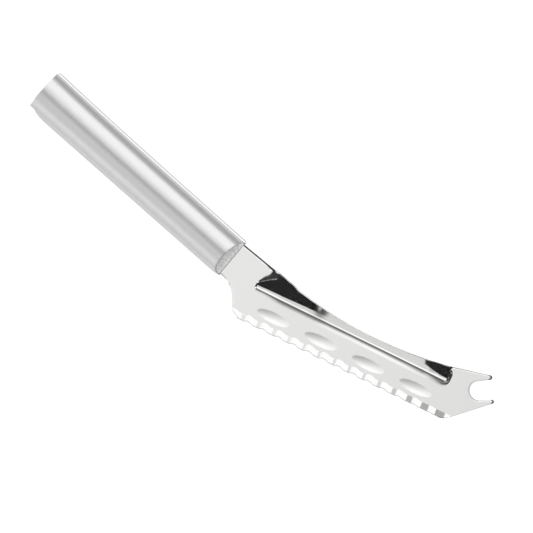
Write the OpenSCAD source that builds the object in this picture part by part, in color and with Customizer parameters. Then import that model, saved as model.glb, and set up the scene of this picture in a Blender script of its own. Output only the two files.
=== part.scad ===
// Cheese knife: a stamped blade with a forked tip, and an aluminium handle cast round its tang.
// The knife lies on its side: +X runs from the butt to the tip, +Y towards the spine, +Z is thickness.

/* [Handle] */
// Length of the handle along its axis
handle_len = 114; // [90:1:140]
// Thickness across the two broad sides, which is also the diameter of the round lower side
handle_t = 16; // [13:0.5:20]
// Height of the narrow land above the handle's axis, at the butt
land_height = 10; // [8:0.5:12]
// Width of the narrow land along the spine side
land_w = 5; // [3:0.5:6]
// Depth of the round lower side below the handle's axis
belly_depth = 11.4; // [10.5:0.1:13]
// Height above the axis at which each flat broad side ends
flat_top = 3; // [2:0.5:4]
// Radius of the rounded shoulder between a flat broad side and the land
shoulder_r = 12; // [8:0.5:16]
// How much lower the land is at the front than at the butt
land_fall = 1.2; // [0:0.1:2]
// How far the front end slopes back from the blade to each broad side
nose_back = 3.6; // [1:0.2:6]
// Length of the relief under the corner of the butt
relief_len = 2.8; // [1:0.2:6]
// Depth of the relief under the corner of the butt
relief_depth = 2.6; // [0.4:0.1:3]
// Length over which the relief runs out into the lower side
relief_run = 5.6; // [3:0.2:10]

/* [Blade] */
// Thickness of the sheet
blade_t = 1.3; // [1:0.1:1.8]
// Angle between the cutting edge and the handle's axis
edge_tilt = 15.6; // [10:0.2:18]
// Distance of the heel ahead of the handle
heel_ahead = 14.8; // [12:0.2:20]
// Distance of the heel below the handle's axis
heel_drop = 18.45; // [17:0.05:20]
// Height of the spine above the heel line where the blade is narrowest
waist_height = 17.1; // [16.6:0.1:18]
// Distance from the heel to the narrowest place, along the edge
waist_u = 63; // [58:0.5:68]
// Radius of the hollow of the spine
spine_r = 200; // [170:5:240]
// Depth of the cutting teeth below the heel line
edge_depth = 2.7; // [2.2:0.1:3.2]
// Radius of the hollow between the handle and the heel
choil_r = 12; // [9:0.5:13]

/* [Fork] */
// Distance from the heel to the end of the lower tine, along the edge
reach = 124.8; // [122:0.2:128]
// Height of the end of the lower tine above the heel line
low_tine_height = 15.4; // [14.5:0.1:16]
// Height of the end of the upper tine above the heel line
top_tine_height = 25; // [24:0.1:26]
// Distance by which the upper tine is shorter than the lower one
top_tine_short = 5.2; // [4:0.2:6]
// Radius of the round end of the notch between the tines
notch_r = 4.4; // [3.6:0.1:4.8]

/* [Rib] */
// Distance from the heel to the start of the rib
rib_start = 5.3; // [4:0.1:8]
// Length of the rib
rib_len = 96.5; // [80:0.5:99]
// Height of the rib's crest line above the heel line
rib_line = 13.4; // [13:0.1:14]
// Height of the crest above the face of the blade
rib_height = 1.6; // [0.8:0.1:2]
// Width of the hollow flank below the crest
flank_w = 3.6; // [2.5:0.1:4]
// Width of the narrow bar along the crest
bar_w = 2.2; // [1.2:0.1:3]
// Slope of the strip that runs from the bar down to the spine
strip_slope = 8; // [4:0.5:10]

/* [Dimples] */
// Number of dimples
dimple_count = 4; // [1:1:4]
// Distance from the heel to the middle of the first dimple
dimple_start = 18.2; // [15:0.2:20]
// Distance between the middles of neighbouring dimples
dimple_pitch = 23.9; // [20:0.1:26]
// Length of a dimple
dimple_len = 16; // [12:0.5:18]
// Width of a dimple
dimple_w = 5; // [4:0.1:5.6]
// Depth of a dimple
dimple_depth = 0.15; // [0.1:0.05:0.5]
// Height of the dimples' middle line above the heel line
dimple_line = 5; // [4.6:0.1:5.6]

/* [Serrations] */
// Number of ground hollows along the edge
flute_count = 15; // [8:1:15]
// Distance from the heel to the end of the first hollow
flute_start = 4.8; // [4:0.1:6]
// Distance between the ends of the first two hollows
flute_pitch = 7.85; // [7.2:0.05:8]
// Width of a full hollow along the edge
flute_w = 7; // [5:0.1:7.1]
// Height of the ground bevel on the blade's face
bevel_w = 3.3; // [2.6:0.1:4]
// Radius of the wheel profile that grinds a hollow
flute_r = 20; // [16:1:30]

/* [Tang] */
// Length of the tang inside the handle
tang_len = 74; // [50:1:85]
// Width of the tang at the shoulders
tang_w = 12; // [9:0.5:13]
// Width of the tang at its far end
tang_end_w = 9; // [7:0.5:9]
// Depth to which the full width of the blade enters the handle
shoulder_in = 6; // [3:0.5:10]
// Diameter of the lock holes that the casting fills
lock_d = 5; // [3:0.5:6]
// Number of lock holes
lock_count = 3; // [1:1:3]
// Hairline gap between the tang and the casting
cast_gap = 0.02; // [0.01:0.01:0.1]

/* [Hidden] */

// Overrun by which cuts pass the faces that they open
over = blade_t;
// Number of steps in a full turn of the spine's arc, of a large arc and of a small one
finest = 1800;
fine = 360;
smooth = 96;
// Number of steps along one of the outline's short arcs
arc_steps = 12;

// Handle: how far the round lower side rises towards the front
belly_rise = 0.4;
// Handle: centre of the round lower side, and the centre of a shoulder, from its two ends in the section
belly_y = handle_t / 2 - belly_depth;
shoulder_rise = land_height - flat_top;
shoulder_inset = (handle_t - land_w) / 2;
shoulder_chord = norm([shoulder_rise, shoulder_inset]);
shoulder_reach = sqrt(shoulder_r * shoulder_r - shoulder_chord * shoulder_chord / 4) / shoulder_chord;
shoulder_c = [
    (flat_top + land_height) / 2 - shoulder_inset * shoulder_reach,
    (handle_t + land_w) / 4 - shoulder_rise * shoulder_reach
];

// Blade: half of the sheet, where its outline leaves the handle, and the slope of its straight back
half_t = blade_t / 2;
throat_top = 7.36;
throat_low = 9.8;
back_slope = 2.15;
// Choil: length of its straight start, and the angle through which its arc turns
choil_run = 1.5;
choil_turn = 50;
// Heel: height of its slanted corner, and the corner's slope along the edge
heel_cut = 0.1;
heel_cut_slope = 33.5;
// Spine: where the small step before the hollow starts, its length, and where the hollow ends behind the tip
step_u = 21;
step_len = 2.2;
hollow_end_back = 23.8;
hollow_end_u = reach - hollow_end_back;
// Fork: radii of the tine ends, where the upper end runs into the spine, the belly, and the notch's place
low_tine_r = 0.85;
top_tine_r = 0.95;
top_tine_turn = 104;
belly_slope = 43.4;
belly_r = 9;
notch_back = 8.3;
notch_height = 16.4;
notch_low_slope = 28;
notch_top_slope = 35;
// Rib: angle at which its flank meets the face, slope of the bar, and the runs at both ends of the strip
foot_angle = 5;
bar_slope = 5;
ramp_len = 4.5;
ramp_lean = 28;
ramp_back = 1.8;
fall_len = 13;
// Serrations: how fast their pitch shrinks, and how the last hollows get narrower
pitch_shrink = 0.025;
flute_fade = 1.25;
flute_full_count = 12;
bevel_angle = atan(blade_t / bevel_w);

// A point u along the edge from the heel and v above the heel line, in the plane of the whole knife
function in_knife(p) = [
    handle_len + heel_ahead + p[0] * cos(edge_tilt) - p[1] * sin(edge_tilt),
    -heel_drop + p[0] * sin(edge_tilt) + p[1] * cos(edge_tilt)
];
// The turn back from the plane of the knife to u and v
function in_blade(q) = let (x = q[0] - handle_len - heel_ahead, y = q[1] + heel_drop) [
    x * cos(edge_tilt) + y * sin(edge_tilt),
    -x * sin(edge_tilt) + y * cos(edge_tilt)
];
// Points of an arc round c, from one angle to another
function arc(c, r, from, to) = [
    for (i = [0:arc_steps]) let (a = from + (to - from) * i / arc_steps) c + r * [cos(a), sin(a)]
];

// Choil and heel, in u and v: an arc, a straight front and a slanted corner
choil_c = [handle_len + choil_run, -throat_low - choil_r];
choil_arc = [for (p = arc(choil_c, choil_r, 90, 90 - choil_turn)) in_blade(p)];
choil_end = choil_arc[len(choil_arc) - 1];
heel_front = [choil_end[0] + (choil_end[1] - heel_cut) / tan(choil_turn + edge_tilt), heel_cut];
heel_low = [heel_front[0] + (edge_depth + heel_cut) / tan(heel_cut_slope), -edge_depth];

// Lower tine and belly, in u and v
low_tine_c = [reach - low_tine_r, low_tine_height - low_tine_r];
tine_foot = low_tine_c + low_tine_r * [sin(belly_slope), -cos(belly_slope)];
belly_corner = tine_foot[0] - (tine_foot[1] + edge_depth) / tan(belly_slope);
belly_c = [belly_corner - belly_r * tan(belly_slope / 2), belly_r - edge_depth];

// Notch and upper tine, in u and v
notch_c = [reach - notch_back, notch_height];
top_tine_c = [reach - top_tine_short - top_tine_r, top_tine_height - top_tine_r];

// Hollow of the spine, in u and v: its centre, and its height at any u
hollow_c = [waist_u, waist_height + spine_r];
function hollow(u) = hollow_c[1] - sqrt(spine_r * spine_r - (u - waist_u) * (u - waist_u));

// Straight back of the shoulder, which runs on into the handle
function back_y(x) = throat_top + (x - handle_len) * tan(back_slope);
throat = in_blade([handle_len, throat_top]);
step_top = [step_u, throat[1] + (step_u - throat[0]) * tan(back_slope - edge_tilt)];

// Ends of the knife in its own plane, from which the centre of its box follows
knife_len = in_knife(low_tine_c)[0] + low_tine_r;
knife_top = in_knife(top_tine_c)[1] + top_tine_r;
knife_low = in_knife([flute_start, -edge_depth])[1];

// Moves the knife so that the origin is at the middle of its box, at the bottom
module place() {
    translate([-knife_len / 2, -(knife_top + knife_low) / 2, handle_t / 2]) children();
}

// Moves a shape that is drawn along the edge from the heel
module along_edge() {
    translate([handle_len + heel_ahead, -heel_drop, 0]) rotate([0, 0, edge_tilt]) children();
}

// Outline of the tang and of the stretch of blade inside the handle, grown by a gap for the casting's slot
module tang_plan(gap, past) {
    shoulder_x = handle_len - shoulder_in - gap;
    end_x = handle_len - tang_len - gap;
    mid_y = (back_y(shoulder_x) - throat_low) / 2;
    difference() {
        polygon([
            [end_x, mid_y - tang_end_w / 2 - gap],
            [shoulder_x, mid_y - tang_w / 2 - gap],
            [shoulder_x, -throat_low - gap],
            [handle_len + past, -throat_low - gap],
            [handle_len + past, back_y(handle_len + past) + gap],
            [shoulder_x, back_y(shoulder_x) + gap],
            [shoulder_x, mid_y + tang_w / 2 + gap],
            [end_x, mid_y + tang_end_w / 2 + gap]
        ]);
        for (i = [1:lock_count])
            translate([handle_len - shoulder_in - (tang_len - shoulder_in) * i / (lock_count + 1), mid_y])
                circle(r = lock_d / 2 - gap, $fn = smooth);
    }
}

// Outline of the blade outside the handle
module blade_plan() {
    outline = concat(
        [[handle_len, -throat_low]],
        [for (p = concat(
            choil_arc,
            [heel_front, heel_low],
            arc(belly_c, belly_r, -90, belly_slope - 90),
            arc(low_tine_c, low_tine_r, belly_slope - 90, 90 + notch_low_slope),
            [notch_c + notch_r * [sin(notch_low_slope), -cos(notch_low_slope)], notch_c],
            [notch_c + notch_r * [-sin(notch_top_slope), cos(notch_top_slope)]],
            arc(top_tine_c, top_tine_r, notch_top_slope - 90, top_tine_turn),
            [[hollow_end_u, hollow(hollow_end_u)]],
            [[step_u + step_len, hollow(step_u + step_len)], step_top]
        )) in_knife(p)],
        [[handle_len, throat_top]]
    );
    difference() {
        polygon(outline);
        translate(in_knife(hollow_c)) circle(r = spine_r, $fn = finest);
        translate(in_knife(notch_c)) circle(r = notch_r, $fn = smooth);
    }
}

// Everything below the formed face of the sheet, with that face lifted by a height
module below_face(lift) {
    deep = rib_height + blade_t;
    crest = rib_line;
    foot = crest - flank_w;
    far = throat[1];
    bar_end = crest + bar_w;
    bar_low = rib_height - bar_w * tan(bar_slope);
    strip_low = bar_low - (far - bar_end) * tan(strip_slope);
    flank_r = (flank_w * flank_w + rib_height * rib_height)
        / (2 * (rib_height * cos(foot_angle) - flank_w * sin(foot_angle)));
    translate([0, 0, lift]) {
        translate([-handle_len - heel_ahead, -heel_drop, -deep]) cube([
            handle_len + heel_ahead + reach + over,
            heel_drop + knife_top + knife_len * sin(edge_tilt),
            deep
        ]);
        // The bar with its hollow flank, blunt at both ends
        translate([rib_start, 0, 0]) rotate([90, 0, 90]) linear_extrude(rib_len) difference() {
            polygon([
                [foot, -deep],
                [foot, rib_height],
                [crest, rib_height],
                [bar_end, bar_low],
                [bar_end, -deep]
            ]);
            translate([foot - flank_r * sin(foot_angle), flank_r * cos(foot_angle)])
                circle(r = flank_r, $fn = fine);
        }
        // The strip from the bar to the spine, with a short run up and a long run down
        intersection() {
            translate([-over, 0, 0]) rotate([90, 0, 90]) linear_extrude(reach) polygon([
                [bar_end - bar_w / 2, -deep],
                [bar_end - bar_w / 2, bar_low + bar_w / 2 * tan(bar_slope)],
                [bar_end, bar_low],
                [far, strip_low],
                [far, -deep]
            ]);
            translate([rib_start - ramp_back, crest, 0]) rotate([0, 0, -ramp_lean])
                rotate([90, 0, 0]) linear_extrude(2 * far, center = true)
                    polygon([[0, 0], [0, -deep], [reach, -deep], [reach, reach * rib_height / ramp_len]]);
            translate([rib_start + rib_len + bar_w / 2, crest, 0])
                rotate([90, 0, 0]) linear_extrude(2 * far, center = true)
                    polygon([[0, 0], [0, -deep], [-reach, -deep], [-reach, reach * rib_height / fall_len]]);
        }
    }
}

// One dimple pressed into the face: the lowest stretch of a ring, grown by a thickness for its back
module dimple_ring(grow) {
    tube_r = (dimple_w * dimple_w / 4 + dimple_depth * dimple_depth) / (2 * dimple_depth);
    outer_r = (dimple_len * dimple_len / 4 + dimple_depth * dimple_depth) / (2 * dimple_depth);
    sweep = 2 * asin(dimple_len / outer_r);
    translate([0, 0, half_t - dimple_depth + outer_r]) rotate([90, 90 + sweep / 2, 0])
        rotate_extrude(angle = sweep, $fn = 2 * fine) translate([outer_r - tube_r, 0])
            circle(r = tube_r + grow, $fn = smooth);
}

module at_dimples() {
    for (i = [0:dimple_count - 1])
        along_edge() translate([dimple_start + i * dimple_pitch, dimple_line, 0]) children();
}

// The wheel's cut along the edge: one flat bevel with a hollow for each tooth gap
module serrations() {
    along_edge() translate([0, -edge_depth, -half_t]) rotate([bevel_angle, 0, 0]) {
        translate([heel_front[0] - over, -over, 0]) cube([reach, 2 * bevel_w, bevel_w]);
        for (k = [0:flute_count - 1]) {
            last = flute_start + flute_pitch * k - pitch_shrink * k * k;
            width = flute_w - flute_fade * max(0, k + 1 - flute_full_count);
            depth = flute_r - sqrt(flute_r * flute_r - width * width / 4);
            translate([last - width / 2, bevel_w / 2, flute_r - depth]) rotate([90, 0, 0])
                cylinder(r = flute_r, h = 4 * bevel_w, center = true, $fn = fine);
        }
    }
}

// Stamped sheet: tang, shoulder, rib, dimples, ground edge and forked tip in one piece
module blade() {
    color([0.86, 0.86, 0.85]) place() difference() {
        union() {
            intersection() {
                linear_extrude(4 * (rib_height + blade_t), center = true) union() {
                    tang_plan(0, 0);
                    blade_plan();
                }
                along_edge() difference() {
                    below_face(half_t);
                    below_face(-half_t);
                }
            }
            // The bumps that the dimples raise on the back
            intersection() {
                at_dimples() dimple_ring(blade_t);
                translate([0, -knife_len, -blade_t - dimple_depth])
                    cube([knife_len, 2 * knife_len, blade_t + dimple_depth]);
            }
        }
        at_dimples() dimple_ring(0);
        serrations();
    }
}

// Rounded shoulders and land of the handle, seen from the butt
module upper_section() {
    translate([belly_y, -handle_t / 2]) square([flat_top - belly_y, handle_t]);
    for (side = [0, 1]) mirror([0, side]) intersection() {
        translate(shoulder_c) circle(r = shoulder_r, $fn = fine);
        translate([flat_top, -land_w / 4]) square([shoulder_rise, handle_t / 2 + land_w / 4]);
    }
}

// Round lower side of the handle, seen from the butt
module lower_section() {
    translate([belly_y, 0]) circle(r = handle_t / 2, $fn = fine);
    translate([belly_y, -handle_t / 2]) square([-belly_y, handle_t]);
}

// Solid casting, poured round the tang and through its lock holes
module handle() {
    color([0.80, 0.81, 0.80]) place() difference() {
        intersection() {
            union() {
                rotate([0, 0, -atan(land_fall / handle_len)]) translate([-over, 0, 0])
                    rotate([90, 0, 90]) linear_extrude(handle_len + 2 * over) upper_section();
                rotate([0, 0, atan(belly_rise / handle_len)]) translate([-over, 0, 0])
                    rotate([90, 0, 90]) linear_extrude(handle_len + 2 * over) lower_section();
            }
            rotate([90, 0, 0]) linear_extrude(4 * handle_t, center = true) polygon([
                [0, -handle_t / 2],
                [handle_len - nose_back, -handle_t / 2],
                [handle_len, -half_t],
                [handle_len, half_t],
                [handle_len - nose_back, handle_t / 2],
                [0, handle_t / 2]
            ]);
        }
        linear_extrude(2 * handle_t, center = true) polygon([
            [-over, -belly_depth - over],
            [-over, relief_depth - belly_depth],
            [relief_len, relief_depth - belly_depth],
            [relief_len + relief_run, -belly_depth],
            [relief_len + relief_run, -belly_depth - over]
        ]);
        linear_extrude(blade_t + 2 * cast_gap, center = true) tang_plan(cast_gap, over);
    }
}

blade();
handle();
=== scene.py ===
# Looks of a cheese knife: a stamped blade with a forked tip, and an aluminium handle cast round its tang.
# All sizes are in millimetres in the knife's own plane. Every mesh is moved to metres in the CAD frame.
import math

import bmesh
import bpy
import numpy as np
from mathutils import Matrix, Vector, kdtree, noise
from mathutils.geometry import delaunay_2d_cdt


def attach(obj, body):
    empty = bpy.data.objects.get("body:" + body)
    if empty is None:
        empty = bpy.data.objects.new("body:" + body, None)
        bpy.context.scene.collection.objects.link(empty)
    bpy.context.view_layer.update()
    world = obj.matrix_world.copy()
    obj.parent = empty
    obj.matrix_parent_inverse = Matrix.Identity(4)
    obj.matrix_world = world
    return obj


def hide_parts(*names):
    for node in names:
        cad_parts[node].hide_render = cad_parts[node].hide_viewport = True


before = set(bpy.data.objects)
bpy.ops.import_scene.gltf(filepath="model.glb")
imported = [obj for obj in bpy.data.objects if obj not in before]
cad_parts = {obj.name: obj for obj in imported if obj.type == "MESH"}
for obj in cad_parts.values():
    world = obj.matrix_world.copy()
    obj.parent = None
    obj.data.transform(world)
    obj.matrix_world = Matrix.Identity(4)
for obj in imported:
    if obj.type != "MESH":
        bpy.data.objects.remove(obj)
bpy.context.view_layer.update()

# Handle: length, half thickness, the line where its section is widest, and how far it reaches below that line
HANDLE_LEN = 114.0
HALF_THICK = 8.0
WIDEST_Y = -2.75
LOWER_REACH = 8.65
LOWER_TAPER = 0.35

# Land along the top of the handle, which falls quickly near the butt and then runs straight. The shares are
# the places of its points from its middle outwards.
LAND_HALF = 2.5
LAND_HEIGHT = 9.85
LAND_FALL = 1.2
LAND_FALL_LEN = 36.0
LAND_SHARES = (0.85, 0.5, 0.0)

# Lower corner of the butt, cut off: places from the butt and the lowest y there
RELIEF = ([0.0, 2.7, 3.2, 4.2, 6.4, 10.4], [-8.8, -8.82, -9.1, -9.75, -10.5, -11.42])

# Nose of the handle: how far it slopes back, how its lower front corner is dressed round, and its rough
# bumps, each by size, seed and height
NOSE_BACK = 3.6
FRONT_ROUND = 0.55
FRONT_RUN = 3.2
FRONT_LOW = 7.0
FRONT_LOW_RUN = 4.0
NOSE_BUMPS = ((1.3, 4.0, 0.10), (3.4, 9.0, 0.05))
NOSE_SINK = 0.05

# Mesh of the handle: radius of its rounded ends, the points of its section and the rings along it
EDGE_ROUND = 0.12
LOWER_STEPS = 40
UPPER_STEPS = 48
BUTT_MIDDLE = (-0.5, 0.0)
BUTT_SHARES = (0.02, 0.35, 0.7, 0.93)
CLOSE_RINGS = (0.6, 11.0, 0.5)
WIDE_RINGS_START = 12.0
WIDE_RINGS_STEP = 2.0
LEAN_LEN = 1.5
END_RINGS = 4
NOSE_MIDDLE = (-0.8, 0.0)
NOSE_SHARES = (0.97, 0.02, 34)
NOSE_RIM_SHARE = 0.93
# Angles from which an edge of the mesh counts as sharp
HANDLE_SHARP = math.radians(24)
BLADE_SHARP = math.radians(14)

# One millimetre in metres, and a value too small to see or to divide by
MM = 0.001
TINY = 1e-7

# Blade: thickness, and the place of its heel and the slope of its edge
BLADE_T = 1.3
HALF_T = BLADE_T / 2
EDGE_TILT = math.radians(15.6)
HEEL = (HANDLE_LEN + 14.8, -18.45)

# Blade: the throat at the handle's nose, and how much of the tang the mesh has inside the handle
THROAT_TOP = 7.36
THROAT_LOW = 9.8
BACK_SLOPE = math.radians(2.15)
HIDDEN_LEN = 2.5

# Blade: choil, heel and depth of the ground edge below the heel line
CHOIL_R = 12.0
CHOIL_RUN = 1.5
CHOIL_TURN = 50.0
HEEL_CUT = 0.1
HEEL_CUT_SLOPE = math.radians(33.5)
EDGE_DEPTH = 2.7

# Blade: hollow of the spine, and the step at its start
WAIST_U = 63.0
SPINE_R = 200.0
WAIST_HEIGHT = 17.1
STEP_U = 21.0
STEP_LEN = 2.2
HOLLOW_END_U = 101.0

# Blade: forked tip with two tines and a notch, and the belly line below it
REACH = 124.8
LOW_TINE_HEIGHT = 15.4
LOW_TINE_R = 0.85
LOW_TINE = (REACH - LOW_TINE_R, LOW_TINE_HEIGHT - LOW_TINE_R)
TOP_TINE_HEIGHT = 25.0
TOP_TINE_SHORT = 5.2
TOP_TINE_R = 0.95
TOP_TINE_TURN = 104.0
TOP_TINE = (REACH - TOP_TINE_SHORT - TOP_TINE_R, TOP_TINE_HEIGHT - TOP_TINE_R)
NOTCH_R = 4.4
NOTCH = (REACH - 8.3, 16.4)
NOTCH_LOW_SLOPE = 28.0
NOTCH_TOP_SLOPE = 35.0
BELLY_SLOPE = 43.4
BELLY_R = 9.0

# Rounded rim of each stretch of the blade's outline: its width on the face, and how far it drops
RIMS = {
    "belly": (0.3, 0.006), "low tine": (0.8, 0.075), "low fork": (0.45, 0.02), "notch": (0.7, 0.012),
    "top fork": (0.45, 0.01), "top tine": (0.9, 0.08), "tip": (0.45, 0.038), "hollow": (0.12, 0.01),
    "step": (0.12, 0.005), "hidden": (0.5, 0.05), "choil": (1.0, 0.06), "heel": (1.0, 0.05)
}
# What is added to the spine's rim where the rib hasn't begun, and what more from a place u on, over a length
BARE_RIM = np.array([0.9, 0.09])
WIDE_RIM = np.array([1.0, 0.08])
WIDE_RUN = (5.5, 4.0)
# The choil's rim drops further beside the handle
CHOIL_DROP = 0.22
CHOIL_FADE = 1.6
# The rims fade out over these lengths: at the ground edge's two ends, and at the corners inside the handle
RIM_FADE = (1.5, 2.0, 1.5)
BLEND_ROUNDS = 4
# Least share by which the rim is lengthened at a corner
CORNER_LEAST = 0.6
# Share of the drop that the rim has on the back
BACK_RIM = 0.6

# Ground edge: height of the bevel on the face, and the hollows ground along it
BEVEL_W = 3.3
BEVEL_SLOPE = math.atan(BLADE_T / BEVEL_W)
FLUTE_COUNT = 15
FLUTE_START = 4.75
FLUTE_PITCH = 7.85
PITCH_SHRINK = 0.025
FLUTE_R = 19.0
# Width of a ground hollow by its number from the heel: the last few are narrower
FLUTE_WIDTHS = ([0, 3, 5, 9, 10, 11, 12, 14], [6.0, 6.0, 6.45, 6.25, 5.75, 5.35, 4.65, 2.7])
# Outline of one ground hollow: places along it and their share of its depth. Its deepest part is towards the
# heel.
WAVE = ([0.0, 0.15, 0.42, 0.75, 1.0], [0.0, 1.0, 0.92, 0.0, 0.06])
# Fine lip along the cutting edge, and the rows of the bevel's mesh from the edge up
LIP_W = 0.4
LIP_FOOT = 0.02
LIP_RISE = 0.37
EDGE_ROWS = (0.0, LIP_W / BEVEL_W, 0.3, 0.5, 0.75, 1.0)
# Distance between the mesh's stations along the edge, and the least gap between two of them
STATION_STEP = 0.3
STATION_GAP = 0.04

# Dimples pressed into the face
DIMPLE_COUNT = 4
DIMPLE_START = 18.2
DIMPLE_PITCH = 23.9
DIMPLE_LEN = 15.9
DIMPLE_W = 4.8
DIMPLE_DEPTH = 0.108
DIMPLE_LINE = 5.02

# Rib: line of its crest, and that line's rise towards the tip over a stretch of the blade
CREST_V = 13.85
CREST_RISE = 0.1
CREST_RISE_START = 50.0
CREST_RISE_LEN = 48.0
# Rib's section by place u: its flank's width and tilt, the dish's tilt, the bar's width and the strip's tilt
FLANK_WIDTH = ([8, 18, 30, 42, 54, 66, 78, 90, 98], [1.1, 2.1, 1.9, 1.4, 1.25, 1.3, 1.45, 1.8, 2.8])
FLANK_TILT = ([8, 16, 36, 60, 84, 98], [-42.0, -34.0, -34.0, -40.0, -40.0, -39.0])
DISH_TILT = ([34, 42, 54, 66, 78, 90, 94], [0.0, 1.8, 2.4, 3.4, 2.8, 1.0, 0.0])
BAR_WIDTH = ([6, 34, 60, 88, 99], [1.6, 2.4, 2.9, 2.6, 1.5])
STRIP_TILT = ([31, 37, 60, 70, 87.5, 93.8], [10.0, 7.2, 6.7, 6.7, 7.0, 10.0])
# Tilts across the section. Dish: places from the flank's foot and shares of the dish's tilt. Flank: shares of
# its width. Crest: places from its line, and where the flank reaches its own tilt before it.
DISH_KNOTS = ((-1.7, 0.0), (-0.8, 1.0), (-0.25, 0.9))
FLANK_KNOTS = ((0.1, -3.5), (0.5, -11.0), (0.77, -25.0))
CREST_KNOTS = ((0.1, 2.8), (0.55, 3.2), (0.75, 6.3))
CREST_BEND = 0.12
# Bar: its tilt at its end, and half the width of the bend to the strip, which runs on beyond the spine
BAR_TILT = 6.6
BAR_BEND = 0.1
BEYOND_SPINE = 40.0
# Rib's two ends by height v: where each is, over what length it comes up, and how softly
LEFT_PLACE = ([13.2, 15.8, 19.1, 23.1], [4.7, 4.7, 6.0, 8.2])
LEFT_RUN = ([14.5, 17, 22], [0.9, 1.1, 5.0])
LEFT_SOFTNESS = ([17, 20], [1.0, 2.0])
RIGHT_PLACE = ([12.5, 15.0, 17.3, 20.5], [102.7, 102.9, 102.9, 101.6])
RIGHT_RUN = ([12.6, 14.2, 17.0, 18.5], [3.4, 1.5, 1.5, 0.9])
# How far each end moves in below the crest, from what place below it and over what height
LEFT_DRAW = (1.6, 0.5, 3.5)
RIGHT_DRAW = (-1.6, 0.7, 2.8)
# Low welt that the press leaves at the rib's right end
WELT_W = 0.6
WELT_HEIGHT = 0.05
WELT_RUN = 0.8

# Mesh of the blade: steps along its outline, and the rounds that find where the bevel meets the heel
LINE_STEP = 0.35
ARC_STEP = 0.3
TINE_STEP = 0.12
NOTCH_STEP = 0.2
HEEL_ROUNDS = 30

# Mesh of the blade: distance between its grid lines, the first lines in u and v and the last in v, closer
# lines at the rib's two ends, and lines along its crest with the free strip beside them
GRID = 0.36
GRID_START = (-20.0, -3.0)
GRID_TOP = 32.0
END_LINES = ((4.4, 9.0, 0.18), (99.8, 103.0, 0.16))
CREST_LINES = (
    -1.3, -1.1, -0.9, -0.7, -0.5, -0.35, -0.22, -0.12, -0.05, 0.02, 0.1, 0.23, 0.38, 0.55, 0.65, 0.75, 0.9,
    1.15
)
CREST_CLEAR = 0.2
# Least distance from a grid point to the outline and to the dimples' outlines, which have this many points
POINT_CLEAR = 0.17
OVAL_POINTS = 128
RIM_STEPS = 6

cos_tilt = math.cos(EDGE_TILT)
sin_tilt = math.sin(EDGE_TILT)


def in_knife(u, v):
    """A point u along the edge from the heel and v above the heel line, in the plane of the knife."""
    return HEEL[0] + u * cos_tilt - v * sin_tilt, HEEL[1] + u * sin_tilt + v * cos_tilt


def in_blade(x, y):
    """The turn back from the plane of the knife to u and v."""
    x = x - HEEL[0]
    y = y - HEEL[1]
    return x * cos_tilt + y * sin_tilt, -x * sin_tilt + y * cos_tilt


KNIFE_LEN = in_knife(*LOW_TINE)[0] + LOW_TINE_R
KNIFE_TOP = in_knife(*TOP_TINE)[1] + TOP_TINE_R
KNIFE_LOW = in_knife(FLUTE_START, -EDGE_DEPTH)[1]


def to_row(points):
    """Points x, y, z of the knife's own frame in millimetres, moved to the CAD frame in metres."""
    move = np.array([-KNIFE_LEN / 2, -(KNIFE_TOP + KNIFE_LOW) / 2, HALF_THICK])
    return (np.asarray(points, float) + move) * MM


def arc(centre, radius, start, end, step=ARC_STEP):
    """Points of an arc from one angle to another, in degrees."""
    count = max(3, int(abs(math.radians(end - start)) * radius / step))
    angles = np.radians(np.linspace(start, end, count + 1))
    return [(centre[0] + radius * math.cos(a), centre[1] + radius * math.sin(a)) for a in angles]


def line(a, b):
    """Points from a to b, without b."""
    count = max(1, int(math.dist(a, b) / LINE_STEP))
    return [(a[0] + (b[0] - a[0]) * i / count, a[1] + (b[1] - a[1]) * i / count) for i in range(count)]


def smooth(t):
    """A soft step from 0 to 1."""
    t = np.clip(t, 0, 1)
    return t * t * (3 - 2 * t)


def ease(u, places, values):
    """Value at u that runs smoothly through a list of places."""
    out = np.full(np.shape(u), values[0], float)
    for p0, p1, a, b in zip(places[:-1], places[1:], values[:-1], values[1:]):
        out = out + (b - a) * smooth((u - p0) / (p1 - p0))
    return out


def hollow(u):
    """Height of the hollow spine at u."""
    return WAIST_HEIGHT + SPINE_R - math.sqrt(SPINE_R ** 2 - (u - WAIST_U) ** 2)


def flute_span(k):
    """First and last u of one ground hollow."""
    last = FLUTE_START + FLUTE_PITCH * k - PITCH_SHRINK * k * k
    return last - float(ease(k, *FLUTE_WIDTHS)), last


def edge_v(u):
    """Height of the cutting edge at u, which waves with the ground hollows."""
    u = np.asarray(u, float)
    deep = np.zeros_like(u)
    for k in range(FLUTE_COUNT):
        first, last = flute_span(k)
        sag = FLUTE_R - math.sqrt(FLUTE_R ** 2 - ((last - first) / 2) ** 2)
        share = np.clip((u - first) / (last - first), 0, 1)
        deep = np.maximum(deep, sag * ease(share, *WAVE))
    return -EDGE_DEPTH + deep / math.sin(BEVEL_SLOPE)


def top_v(u):
    """Height at which the bevel meets the face."""
    return edge_v(u) + BEVEL_W


def profile(v, knots):
    """Height at v of a surface with a run of tilts. Each knot is a place and a tilt towards the spine, in
    degrees, and the tilt changes evenly between two knots."""
    total = np.zeros_like(v)
    for (v0, a0), (v1, a1) in zip(knots[:-1], knots[1:]):
        a0 = np.radians(a0) + np.zeros_like(v)
        a1 = np.radians(a1) + np.zeros_like(v)
        width = np.maximum(v1 - v0, TINY) + np.zeros_like(v)
        part = np.clip(v - v0, 0, width)
        slope = (a1 - a0) / width
        flat = np.abs(slope) < TINY
        safe = np.where(flat, 1.0, slope)
        bent = (np.log(np.cos(a0)) - np.log(np.cos(a0 + slope * part))) / safe
        total -= np.where(flat, np.tan(a0) * part, bent)
    return total


def crest_rise(u):
    """How far the crest's line rises towards the tip."""
    return CREST_RISE * smooth((u - CREST_RISE_START) / CREST_RISE_LEN)


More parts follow.
